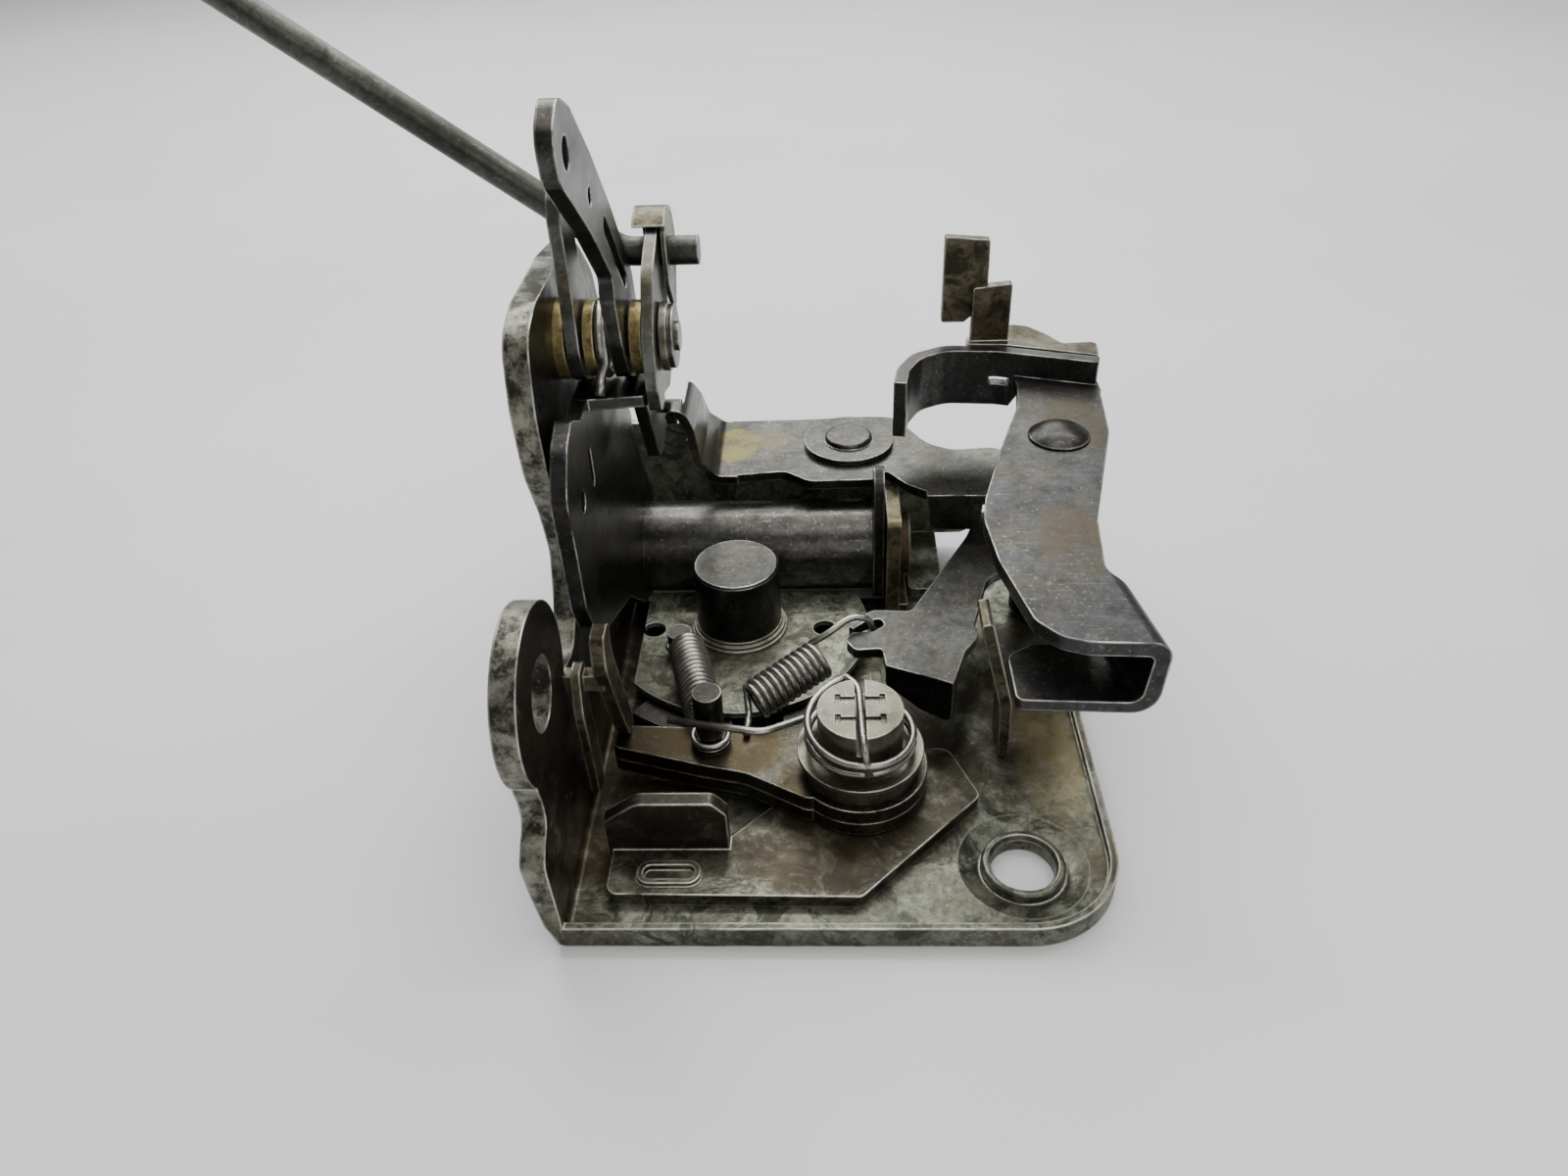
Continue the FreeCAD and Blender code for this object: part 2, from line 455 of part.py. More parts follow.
def transfer_arm():
    """Rocking arm: flat body, folded front flange, tall goose-neck at the left."""
    outline = [(17, 72.2), (26.5, 73.4), (30.4, 70.2), (41.1, 70.5), (42.4, 73.4), (45.8, 68.8), (48.8, 66.6),
               (53.6, 65.3), (58, 65.0), (62.2, 67), (62.8, 80), (53.7, 79.2), (49.7, 81.6), (44.9, 90.7),
               (40.4, 91), (30, 90.4), (17, 90.2)]
    radii = [0.3, 3, 3, 1, 1, 2, 1, 1, 2, 3, 3, 4, 6, 5, 4, 6, 0.3]
    body = flat(outline, ARM_Z0, ARM_Z1, radii)
    fold = facing([(48.6, ARM_Z1), (49.4, 15.7), (57.0, 15.7), (57.4, ARM_Z1)], 65.3, 66.9,
                  [0.2, 1.2, 1.2, 0.2])
    neck_path = [(19.0, 21.2), (15.0, 21.3), (13.0, 26.0), (13.0, 34.0), (12.4, 38.0), (10.75, 38.3),
                 (10.75, 36.2)]
    neck = neck_sheet(neck_path, 1.5)
    taper = upright([(72.2, 20), (90.2, 20), (90, 22.5), (69.4, 41.5), (62.4, 41.5), (62.4, 38), (72, 22.5)],
                    5, 20, [0.2, 0.2, 4, 2, 1, 3, 3])
    clearance = Part.makeBox(6.4, 30, 12, V(6, 65.4, 32))
    whole = fuse(body, fold, neck.common(taper).cut(clearance))
    return whole.cut(post(ARM_X, ARM_Y, ARM_SHANK_R + RUN, 10, 40))


def neck_sheet(path, thickness):
    """Sheet that follows path in X, Z and is as wide as the whole arm in Y."""
    flat_band = ribbon(path, 1.8, thickness, 0, 40)
    turn = FreeCAD.Placement(V(0, 100, 0), FreeCAD.Rotation(V(1, 0, 0), 90))
    flat_band.Placement = turn
    return flat_band


def arm_rivet():
    gap = ARM_Z1 + 0.12
    dome = post(ARM_X, ARM_Y, 3.9, gap + 0.8, gap + 1.6)
    rim = [e for e in dome.Edges if abs(e.BoundBox.ZMin - gap - 1.6) < 0.01]
    return fuse(post(ARM_X, ARM_Y, ARM_SHANK_R, 18.8, gap), post(ARM_X, ARM_Y, 7.4, gap, gap + 0.8),
                dome.makeFillet(0.6, rim))


def rear_wall():
    """Zinc bracket behind the tube; its shelf carries the transfer arm."""
    wall = facing([(1.5, 3.4), (58, 3.4), (58, 14), (54, 18.8), (13.5, 18.8), (11.5, 26), (FLANGE_IN, 26),
                   (FLANGE_IN, 14.5), (1.1, 8.7)], 82.6, 84.2, [0.3, 2, 2, 2, 3, 2, 0.3, 3, 3])
    shelf = flat([(24, 77.6), (47, 77.6), (47, 91), (24, 91)], 18.8, 20.0, 2)
    foot = flat([(46.4, 66), (52, 66), (52, 84), (46.4, 84)], PLATE_T, 3.6, 1)
    return fuse(wall, shelf, foot).cut(post(ARM_X, ARM_Y, ARM_SHANK_R, 18, 40))


def bearing_ear():
    """Ear that carries the right end of the tube's shaft, with a foot on the plate."""
    ear = upright([(61, PLATE_T), (72, PLATE_T), (78, 7), (78, 14), (73, 20), (61, 20)], BEAR_X0, BEAR_X1,
                  [0.3, 3, 4, 4, 4, 1.2])
    foot = Part.makeBox(3.6, 9, 1.5, V(BEAR_X0, 62, PLATE_T))
    return fuse(ear, foot).cut(axle(TUBE_Y, TUBE_Z, TUBE_SHAFT_R, 30, 60))


def tube():
    """Locking tube, rolled from sheet, with its end cam at the right."""
    body = axle_ring(TUBE_Y, TUBE_Z, TUBE_R - 1.5, TUBE_R, TUBE_X0, TUBE_X1)
    left_end = axle_ring(TUBE_Y, TUBE_Z, TUBE_SHAFT_R + RUN, TUBE_R - 1.4, TUBE_X0, TUBE_X0 + 3)
    return fuse(body, left_end)


def tube_cam():
    outline = [(61.4, 8), (63, 3.9), (69.5, 2.5), (76, 5), (78, 10.5), (75, 17), (69.4, 19.5), (68.8, 25.5),
               (65.6, 27.2), (62.6, 25.4), (61.6, 18)]
    cam = upright(outline, TUBE_X1, CAM_X1, [3, 4, 5, 4, 4, 4, 2, 2, 2, 2, 3])
    return cam.cut(axle(TUBE_Y, TUBE_Z, TUBE_SHAFT_R + RUN, 30, 60))


def crank():
    """Locking crank on the tube's left end; its bent top tab meets the lock lever."""
    outline = [(37, 51.4), (33, 53.6), (29, 52.2), (24.8, 47.5), (25.2, 41), (25.4, 31.5), (27.5, 27.2),
               (35, 21.5), (50, 15), (60, 6), (69.5, 1.6), (78.4, 7), (78, 16), (71, 27), (66, 38), (60, 46),
               (51, 50.0), (42, 51.5)]
    radii = [1, 2, 3, 4, 4, 4, 4, 6, 8, 6, 6, 6, 6, 8, 8, 6, 3, 2]
    plate = upright(outline, CRANK_X0, CRANK_X1, radii)
    tab = flat([(CRANK_X0, 41.8), (11.2, 42.8), (11.2, 49.8), (CRANK_X0, 49.8)], 50.0, 51.5,
               [0.3, 0.8, 0.6, 0.3])
    slot = upright([(38.2, 41.2), (39.8, 41.2), (39.8, 46.6), (38.2, 46.6)], 0, 6, 0.7)
    hole = axle(32.2, 43.0, 1.4, 0, 6)
    shaft = axle(TUBE_Y, TUBE_Z, TUBE_SHAFT_R + RUN, 0, 9)
    return fuse(plate, tab).cut(Part.makeCompound([slot, hole, shaft]))


def inside_lever():
    """Inside handle lever: three-hole upper arm, hub, lower tooth with its drive pin."""
    outline = [(26, 90.4), (21.6, 88.0), (22.4, 83.4), (32.4, 75.6), (37.3, 70.9), (41.0, 67.4),
               (40.2, 64.8), (41.4, 58.6), (43.8, 53.6), (47.0, 52.2), (51.4, 52.2), (51.6, 46.5),
               (58.6, 33.6), (61.6, 33.2), (67.4, 34.4), (68.4, 39.2), (60.4, 49.5), (54.4, 56.5),
               (53.4, 63.4), (44.5, 74.6), (37.6, 82.0), (30.6, 88.4)]
    radii = [3, 3, 3, 6, 6, 1.5, 1.5, 6, 3, 1, 1, 3, 1, 1.6, 1.6, 3, 6, 4, 6, 8, 8, 3]
    plate = upright(outline, INSIDE_X[0], INSIDE_X[1], radii)
    x0, x1 = INSIDE_X[0] - 1, INSIDE_X[1] + 1
    long_slot = [(40.6, 74.9), (38.9, 73.6), (48.0, 62.8), (49.8, 64.1)]
    cutters = [axle(HANDLE_HOLE_Y, HANDLE_HOLE_Z, 1.6, x0, x1), axle(34.4, 78.6, 1.0, x0, x1),
               upright(long_slot, x0, x1, 0.95), axle(STACK_Y, STACK_Z, STACK_R + RUN, x0, x1)]
    return fuse(plate.cut(Part.makeCompound(cutters)), axle(66.6, 37.6, 1.0, INSIDE_X[1], 12.0))


def key_lever():
    """Key cylinder lever: hub and one upright arm with a round head."""
    outline = [(42.6, 57), (43.4, 66), (43.2, 73), (44.4, 76.0), (47.4, 76.2), (49.0, 73.4), (49.6, 66),
               (53.0, 60), (53.2, 54.4), (49, 51.7), (44.4, 52.6)]
    plate = upright(outline, KEY_X[0], KEY_X[1], [4, 12, 3, 2.4, 2.4, 3, 10, 3, 4, 3, 4])
    return plate.cut(axle(STACK_Y, STACK_Z, STACK_R + RUN, 0, 9))


def lock_lever():
    """Lock lever: carries the pull rod, and its drive pin meets the crank's tab."""
    outline = [(42.0, 59.0), (46.8, 65.4), (54.6, 68.6), (59.4, 68.0), (61.2, 64.2), (59.6, 60.4),
               (54.6, 56.2), (54.8, 50.0), (51.4, 48.6), (46, 50.2), (42.6, 49.0), (41.2, 53)]
    plate = upright(outline, LOCK_X[0], LOCK_X[1], [3, 4, 3, 3, 3, 3, 4, 1.4, 1.4, 3, 1.2, 2])
    x0, x1 = LOCK_X[0] - 1, LOCK_X[1] + 1
    plate = plate.cut(Part.makeCompound([axle(STACK_Y, STACK_Z, STACK_R + RUN, x0, x1),
                                         axle(ROD_Y, ROD_Z, ROD_R + RUN, x0, x1)]))
    return fuse(plate, axle(52.6, 50.3, 1.1, 9.8, LOCK_X[0]))


def pull_rod():
    """Pull rod: cross run through the lock lever, bend, long straight run, threaded end."""
    stub_end = V(ROD_STUB_X, ROD_Y, ROD_Z)
    corner = V(ROD_BEND_X, ROD_Y, ROD_Z)
    half = V(1, 0, 0).getAngle(ROD_DIR) / 2
    reach = ROD_BEND_R / math.tan(half)
    start = corner + V(reach, 0, 0)
    end = corner + ROD_DIR * reach
    centre = corner + (V(1, 0, 0) + ROD_DIR).normalize() * (ROD_BEND_R / math.sin(half))
    middle = centre + (corner - centre).normalize() * ROD_BEND_R
    far = corner + ROD_DIR * ROD_LENGTH
    neck = far - ROD_DIR * ROD_THREAD
    spine = Part.Wire([Part.LineSegment(stub_end, start).toShape(), Part.Arc(start, middle, end).toShape(),
                       Part.LineSegment(end, neck).toShape()])
    section = Part.Wire(Part.makeCircle(ROD_R, stub_end, V(1, 0, 0)))
    body = spine.makePipeShell([section], True, False)
    return fuse(body, rod_between(neck, far, ROD_R - 0.25))


def rod_clip():
    """Sheet clip that straddles the lock lever's eye and holds the rod."""
    gap = 0.35
    saddle = axle_ring(ROD_Y, ROD_Z, 4.9, 5.5, INSIDE_X[1] + 0.5, LOCK_X[1] + gap + 0.6)
    shade = upright([(ROD_Y - 9, ROD_Z + 7.0), (ROD_Y - 9, ROD_Z + 9), (ROD_Y + 9, ROD_Z + 9),
                     (ROD_Y + 9, ROD_Z - 2.0)], 0, 30, 0.1)
    saddle = saddle.common(shade)
    tail = [(ROD_Y - 3.4, ROD_Z - 3.6), (ROD_Y - 3.8, ROD_Z + 3.6), (ROD_Y + 0.5, ROD_Z + 5.3),
            (ROD_Y + 4.8, ROD_Z + 2.0), (ROD_Y + 4.4, ROD_Z - 3.2), (ROD_Y + 0.2, ROD_Z - 8.4)]
    right = upright(tail, LOCK_X[1] + gap, LOCK_X[1] + gap + 0.6, [2, 2, 2, 2, 1.5, 0.4])
    bore = axle(ROD_Y, ROD_Z, ROD_R + RUN, 0, 30)
    return fuse(saddle, right).cut(bore)


def guide_fork():
    """Two-pronged guide on the flange's ear; the long prong keeps the pawl's tip down."""
    long_outline = [(21.4, 30.4), (20.3, 26.3), (22.9, 19), (27.0, 8.9), (30.4, 8.9), (26.6, 19.5),
                    (24.4, 26), (25.2, 30.4)]
    short_outline = [(20.6, 25.4), (19.2, 20), (20.0, 9), (20.0, 4.6), (23.0, 4.6), (23.6, 9),
                     (22.8, 20), (24.0, 25.4)]
    long_prong = upright(long_outline, 4.6, 6.4, [1, 5, 8, 1.2, 1.2, 8, 5, 1])
    short_prong = upright(short_outline, 1.7, 2.9, [1, 6, 6, 1.2, 1.2, 6, 6, 1])
    bridge = Part.makeBox(4.9, 1.8, 2.4, V(FLANGE_IN, 21.6, 21.8))
    return fuse(long_prong, short_prong, bridge)


def guide_bracket():
    """Upright guide beside the release lever; its upper part leans to the left."""
    outline = [(56.4, PLATE_T), (58.0, PLATE_T), (57.7, 11.5), (54.2, 25.4), (52.6, 25.0), (56.1, 11)]
    return facing(outline, 29.5, 35.0, [0.2, 0.2, 5, 0.5, 0.5, 5])


def lever_post():
    """Common post of the release lever and the outer handle lever, with a domed head."""
    dome = Part.makeSphere(6.6, V(POST_X, POST_Y, OUT_Z1 + 1.9 - 6.6))
    head = post(POST_X, POST_Y, 4.6, OUT_Z1 + 0.2, OUT_Z1 + 1.9).common(dome)
    return fuse(post(POST_X, POST_Y, POST_R, 0, OUT_Z1 + 0.3), head)


def detent_spring():
    """Detent spring: one turn round the stack shaft, a leg down to the crank's tab."""
    loop = Part.makeTorus(4.3, 0.75, V(6.35, STACK_Y, STACK_Z), V(1, 0, 0))
    leg = rod_between(V(6.35, STACK_Y - 4.3, STACK_Z), V(5.6, 42.0, 52.0), 0.75)
    return Part.makeCompound([loop, leg])


def build():
    add("case_plate", case_plate())
    add("reinforcement_plate", reinforcement())
    add("deck_plate", deck())
    add("claw_pivot_post", peg())
    add("claw_pivot_collar", peg_collar())
    add("claw", claw())
    add("spring_post", fuse(post(POST2_X, POST2_Y, 1.0, DECK_Z0, DECK_Z1),
                            post(POST2_X, POST2_Y, 1.5, DECK_Z1, 7.2),
                            post(POST2_X, POST2_Y, 1.9, 7.2, 9.4)))
    add("pawl_stud", pawl_stud())
    add("pawl_stud_washer", ring(STUD_X, STUD_Y, STUD_R, 8.2, 10.9, 11.5))
    add("pawl_lever", pawl())
    add("pawl_backing_lever", pawl_backing())
    add("pawl_hub_bush", ring(STUD_X, STUD_Y, STUD_R + RUN, 7.6, PAWL_Z[3], 10.6))
    add("pawl_pin", pawl_pin())
    add("pawl_torsion_spring", torsion_spring())
    add("pawl_return_spring", pawl_return_spring())
    add("release_lever_spring", release_lever_spring())
    add("release_lever", release_lever())
    add("outer_handle_lever", outer_lever())
    add("trip_bracket", trip_bracket())
    add("trip_paddle", trip_paddle())
    add("lever_post", lever_post())
    add("lever_post_lower_spacer", ring(POST_X, POST_Y, POST_R, SPACER_R, RIM_H, REL_Z0 - 0.2))
    add("lever_post_upper_spacer", ring(POST_X, POST_Y, POST_R, SPACER_R, REL_Z1 + 0.2, OUT_Z0 - 0.2))
    add("release_guide_bracket", guide_bracket())
    add("pawl_guide_fork", guide_fork())
    add("transfer_arm", transfer_arm())
    add("transfer_arm_rivet", arm_rivet())
    add("rear_wall_bracket", rear_wall())
    add("tube_bearing_ear", bearing_ear())
    add("tube_shaft", fuse(axle(TUBE_Y, TUBE_Z, TUBE_SHAFT_R, FLANGE_OUT, BEAR_X1),
                           axle(TUBE_Y, TUBE_Z, 5.0, BEAR_X1, BEAR_X1 + 1.8)))
    add("locking_tube", tube())
    add("locking_tube_cam", tube_cam())
    add("locking_crank", crank())
    add("stack_shaft", fuse(axle(STACK_Y, STACK_Z, STACK_R, FLANGE_OUT, 14.2),
                            axle(STACK_Y, STACK_Z, 4.6, FLANGE_OUT - 1.6, FLANGE_OUT),
                            axle(STACK_Y, STACK_Z, 1.8, 14.2, STACK_END_X)))
    add("stack_inner_collar", axle_ring(STACK_Y, STACK_Z, STACK_R, 5.0, FLANGE_IN, KEY_X[0] - 0.3))
    add("key_lever", key_lever())
    add("stack_yellow_washer", axle_ring(STACK_Y, STACK_Z, STACK_R, 4.7, KEY_X[1] + 0.3, 5.4))
    add("lock_detent_spring", detent_spring())
    add("inside_handle_lever", inside_lever())
    add("stack_brass_washer", axle_ring(STACK_Y, STACK_Z, STACK_R, 4.5, INSIDE_X[1] + 0.3, LOCK_X[0] - 0.3))
    add("lock_lever", lock_lever())
    add("stack_end_clip", axle_ring(STACK_Y, STACK_Z, 1.8, 3.9, 14.2, 14.9))
    add("stack_end_washer", axle_ring(STACK_Y, STACK_Z, STACK_R, 4.2, LOCK_X[1] + 0.25, 14.2))
    add("pull_rod", pull_rod())
    add("rod_clip", rod_clip())


def write():
    for name, shape in NODES.items():
        shape.translate(V(-FIX_X, -FIX_Y, 0))
        shape.exportStep("parts/" + name + ".step")
        good = all(s.isValid() and s.Volume > 0 for s in shape.Solids)
        print(name, len(shape.Solids), "solid(s)", round(shape.Volume, 1), "mm3", "" if good else "INVALID")


build()
write()
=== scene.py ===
import bpy
import json
import math
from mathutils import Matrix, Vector


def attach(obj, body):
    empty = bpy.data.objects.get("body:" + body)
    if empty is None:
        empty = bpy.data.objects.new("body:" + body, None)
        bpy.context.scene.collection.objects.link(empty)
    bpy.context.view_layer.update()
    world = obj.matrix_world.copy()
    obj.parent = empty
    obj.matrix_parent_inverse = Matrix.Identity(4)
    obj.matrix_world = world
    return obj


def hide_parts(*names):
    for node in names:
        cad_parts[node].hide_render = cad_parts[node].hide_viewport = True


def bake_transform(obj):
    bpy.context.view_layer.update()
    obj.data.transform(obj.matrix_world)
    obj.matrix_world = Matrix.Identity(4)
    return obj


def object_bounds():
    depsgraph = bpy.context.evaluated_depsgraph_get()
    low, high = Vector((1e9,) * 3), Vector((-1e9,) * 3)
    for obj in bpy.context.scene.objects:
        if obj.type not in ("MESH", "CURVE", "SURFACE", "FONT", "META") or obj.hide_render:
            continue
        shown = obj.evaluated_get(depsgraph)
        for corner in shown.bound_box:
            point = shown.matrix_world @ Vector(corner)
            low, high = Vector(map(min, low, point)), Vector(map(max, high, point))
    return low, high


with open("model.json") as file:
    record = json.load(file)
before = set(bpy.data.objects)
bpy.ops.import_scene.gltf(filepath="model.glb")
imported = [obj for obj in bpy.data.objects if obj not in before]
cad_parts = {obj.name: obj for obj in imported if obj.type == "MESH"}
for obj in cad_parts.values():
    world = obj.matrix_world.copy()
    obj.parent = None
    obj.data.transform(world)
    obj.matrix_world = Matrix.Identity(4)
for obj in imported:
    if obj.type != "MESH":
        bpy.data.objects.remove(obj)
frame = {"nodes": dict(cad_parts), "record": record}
BOX_LOW, BOX_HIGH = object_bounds()
MM = 0.001
COLLECTION = bpy.context.scene.collection

# ---- camera: looks down at the front of the lock from in front ----
CAMERA_AT = (-0.02363, -0.09181, 0.1150)
CAMERA_TURN = (53.013, 2.013, 1.484)      # degrees about X, Y and Z
CAMERA_LENS = 25.7                        # millimetres, on a 36 mm wide sensor

# ---- studio ----
LIT_POINT = Vector((-0.02, 0.03, 0.02))   # where every lamp looks, metres
AIR_COLOUR = (0.84, 0.87, 0.83, 1)
AIR_STRENGTH = 0.35
FLOOR_REACH = 6.0                         # metres each way
FLOOR_DARK, FLOOR_LIGHT = (0.60, 0.61, 0.62), (0.66, 0.67, 0.68)

# ---- driving places, millimetres from the face plate's front left corner ----
FIX = (57.3, 10.6)                        # fixing hole, X and Y
STUD = (37.2, 22.2)                       # pawl stud, X and Y
STUD_TOP = 18.0                           # Z of the stud's head
SPRING_POST = (10.9, 48.4)                # X and Y
PAWL_PIN = (17.4, 26.0)                   # X and Y
STACK = (48.0, 57.0)                      # lever stack axis, Y and Z

# ---- springs: radius and wire in millimetres, sweep in degrees ----
TORSION_R, TORSION_WIRE = 6.75, 1.0       # torsion spring round the stud
TORSION_FIRST, TORSION_LAST = 104, 846    # degrees where its coil starts and ends
TORSION_STEP = 6                          # degrees from point to point
TORSION_SINK = 190                        # degrees in which the wire comes down from the slot
TORSION_TOP, TORSION_DROP = 17.5, 3.2     # height where it starts and how far it comes down
TORSION_PITCH = 1.15                      # further down for each turn after that
RETURN_R, RETURN_WIRE, RETURN_TURNS = 2.4, 0.8, 15
RELEASE_R, RELEASE_WIRE, RELEASE_TURNS = 2.5, 1.0, 11
DETENT_R, DETENT_WIRE, DETENT_SWEEP = 4.3, 1.3, 500
STEPS_A_TURN = 22                         # points on each turn of a coil
WIRE_SIDES = 12


def camera():
    data = bpy.data.cameras.new("camera")
    data.lens = CAMERA_LENS
    data.sensor_width = 36.0
    data.clip_start = 0.002
    cam = bpy.data.objects.new("camera", data)
    cam.location = CAMERA_AT
    cam.rotation_euler = [math.radians(a) for a in CAMERA_TURN]
    COLLECTION.objects.link(cam)
    bpy.context.scene.camera = cam


def lamp(name, place, size, power, colour):
    """Soft area light that looks at the middle of the lock; place and size in metres, power in watts."""
    data = bpy.data.lights.new(name, "AREA")
    data.shape = "RECTANGLE"
    data.size, data.size_y = size
    data.energy = power
    data.color = colour
    light = bpy.data.objects.new(name, data)
    light.location = place
    light.rotation_euler = (LIT_POINT - Vector(place)).to_track_quat("-Z", "Y").to_euler()
    COLLECTION.objects.link(light)


def studio():
    lamp("window", (-0.15, 0.62, 0.50), (0.7, 0.4), 5.0, (0.98, 1.0, 0.96))
    lamp("overhead", (0.05, 0.05, 0.75), (0.7, 0.7), 4.0, (1.0, 1.0, 0.96))
    lamp("strip", (0.02, 0.30, 0.55), (0.9, 0.07), 2.6, (0.99, 1.0, 0.97))
    lamp("front_fill", (0.25, -0.55, 0.35), (0.5, 0.4), 1.4, (1.0, 0.98, 0.93))
    world = bpy.data.worlds.new("studio_air")
    bpy.context.scene.world = world
    world.use_nodes = True
    air = world.node_tree.nodes["Background"].inputs
    air["Color"].default_value = AIR_COLOUR
    air["Strength"].default_value = AIR_STRENGTH


# ---- materials: noise scales count per metre, lengths are in metres ----
PLATING_ROUND = 0.00026                   # how round worn edges look
STEEL_ROUND = 0.00024
SPECKLE = (0.06, 0.048, 0.028)
BROWN_GREASE = (0.038, 0.027, 0.012)
BROWN_TINT = (0.060, 0.046, 0.028)
OIL_AND_SHADE_BLACK = (0.016, 0.014, 0.011)
# near-black for the inside of the upright flange: part oil stain, part painted shade where that face lies
# in shadow
DRIED_GREASE = (0.030, 0.024, 0.013)


class Nodes:
    """A short way to write a material's node tree."""

    def __init__(self, name):
        self.mat = bpy.data.materials.new(name)
        self.mat.use_nodes = True
        self.tree = self.mat.node_tree
        self.shader = self.tree.nodes["Principled BSDF"]
        coords = self.tree.nodes.new("ShaderNodeTexCoord")
        self.place = coords.outputs["Object"]

    def link(self, value, socket):
        if isinstance(value, bpy.types.NodeSocket):
            self.tree.links.new(value, socket)
        else:
            socket.default_value = value

    def noise(self, scale, detail=4.0, rough=0.55, distort=0.0, place=None):
        n = self.tree.nodes.new("ShaderNodeTexNoise")
        n.inputs["Scale"].default_value = scale
        n.inputs["Detail"].default_value = detail
        n.inputs["Roughness"].default_value = rough
        n.inputs["Distortion"].default_value = distort
        self.link(place or self.place, n.inputs["Vector"])
        return n.outputs["Fac"]

    def stretched(self, scale, turn=(0, 0, 0)):
        n = self.tree.nodes.new("ShaderNodeMapping")
        n.inputs["Scale"].default_value = scale
        n.inputs["Rotation"].default_value = turn
        self.link(self.place, n.inputs["Vector"])
        return n.outputs["Vector"]

    def ramp(self, value, low, high, a=0.0, b=1.0):
        n = self.tree.nodes.new("ShaderNodeMapRange")
        n.inputs["From Min"].default_value = low
        n.inputs["From Max"].default_value = high
        n.inputs["To Min"].default_value = a
        n.inputs["To Max"].default_value = b
        self.link(value, n.inputs["Value"])
        return n.outputs["Result"]

    def maths(self, kind, a, b=0.0):
        """Arithmetic held between 0 and 1."""
        n = self.tree.nodes.new("ShaderNodeMath")
        n.operation = kind
        n.use_clamp = True
        self.link(a, n.inputs[0])
        self.link(b, n.inputs[1])
        return n.outputs["Value"]

    def vector(self, kind, a, b=(0, 0, 0)):
        n = self.tree.nodes.new("ShaderNodeVectorMath")
        n.operation = kind
        self.link(a, n.inputs[0])
        self.link(b, n.inputs[1])
        return n.outputs["Value" if kind in ("LENGTH", "DOT_PRODUCT") else "Vector"]

    def normal(self):
        return self.tree.nodes.new("ShaderNodeNewGeometry").outputs["Normal"]

    def rounded(self, radius):
        """The surface's normal with its edges rounded off."""
        n = self.tree.nodes.new("ShaderNodeBevel")
        n.samples = 6
        n.inputs["Radius"].default_value = radius
        return n.outputs["Normal"]

    def along(self, value, axis):
        n = self.tree.nodes.new("ShaderNodeSeparateXYZ")
        self.link(value, n.inputs["Vector"])
        return n.outputs[axis]

    def mix(self, amount, a, b):
        n = self.tree.nodes.new("ShaderNodeMix")
        n.data_type = "RGBA"
        self.link(amount, n.inputs["Factor"])
        self.link(a, n.inputs["A"])
        self.link(b, n.inputs["B"])
        return n.outputs["Result"]

    def edge(self, radius):
        """1 on sharp edges, 0 on flat faces: how far the rounded normal leans from the real one."""
        same = self.vector("DOT_PRODUCT", self.rounded(radius), self.normal())
        return self.ramp(self.maths("SUBTRACT", 1.0, same), 0.003, 0.07)

    def sheared(self):
        """1 on the cut edges of the upright side flange, 0 on its broad faces and on the face plate."""
        turned = self.ramp(self.maths("ABSOLUTE", self.along(self.normal(), "X")), 0.70, 0.40)
        return self.maths("MULTIPLY", turned, self.ramp(self.along(self.place, "Z"), 0.004, 0.007))

    def bump(self, height, strength, distance, rounding):
        n = self.tree.nodes.new("ShaderNodeBump")
        n.inputs["Strength"].default_value = strength
        n.inputs["Distance"].default_value = distance
        self.link(height, n.inputs["Height"])
        self.link(self.rounded(rounding), n.inputs["Normal"])
        self.link(n.outputs["Normal"], self.shader.inputs["Normal"])

    def set(self, **values):
        for name, value in values.items():
            self.link(value, self.shader.inputs[name.replace("_", " ")])


def at(x, y, z):
    """Millimetres from the face plate's front left corner to metres in the row frame."""
    return Vector(((x - FIX[0]) * MM, (y - FIX[1]) * MM, z * MM))


def rgba(c):
    return (c[0], c[1], c[2], 1.0)


def patch(n, centre, radius, stretch):
    """1 inside an irregular spot round a point of the lock, 0 outside."""
    offset = n.vector("MULTIPLY", n.vector("SUBTRACT", n.place, at(*centre)), stretch)
    ragged = n.ramp(n.noise(260, 5, 0.7), 0.25, 0.75, -0.35 * radius, 0.35 * radius)
    far = n.maths("ADD", n.vector("LENGTH", offset), ragged)
    return n.ramp(far, radius * 1.08, radius * 0.80)


def zoned(n, tone, zones):
    """Lays oily spots, stains and spots of painted shade over a colour; a zone is centre, radius,
    stretch, colour, cover.
    """
    for centre, radius, stretch, colour, (thin, thick) in zones:
        spot = patch(n, centre, radius * MM, stretch)
        broken = n.ramp(n.noise(170, 7, 0.75, 0.6), 0.42, 0.54, thin, thick)
        tone = n.mix(n.maths("MULTIPLY", spot, broken), tone, rgba(colour))
    return tone


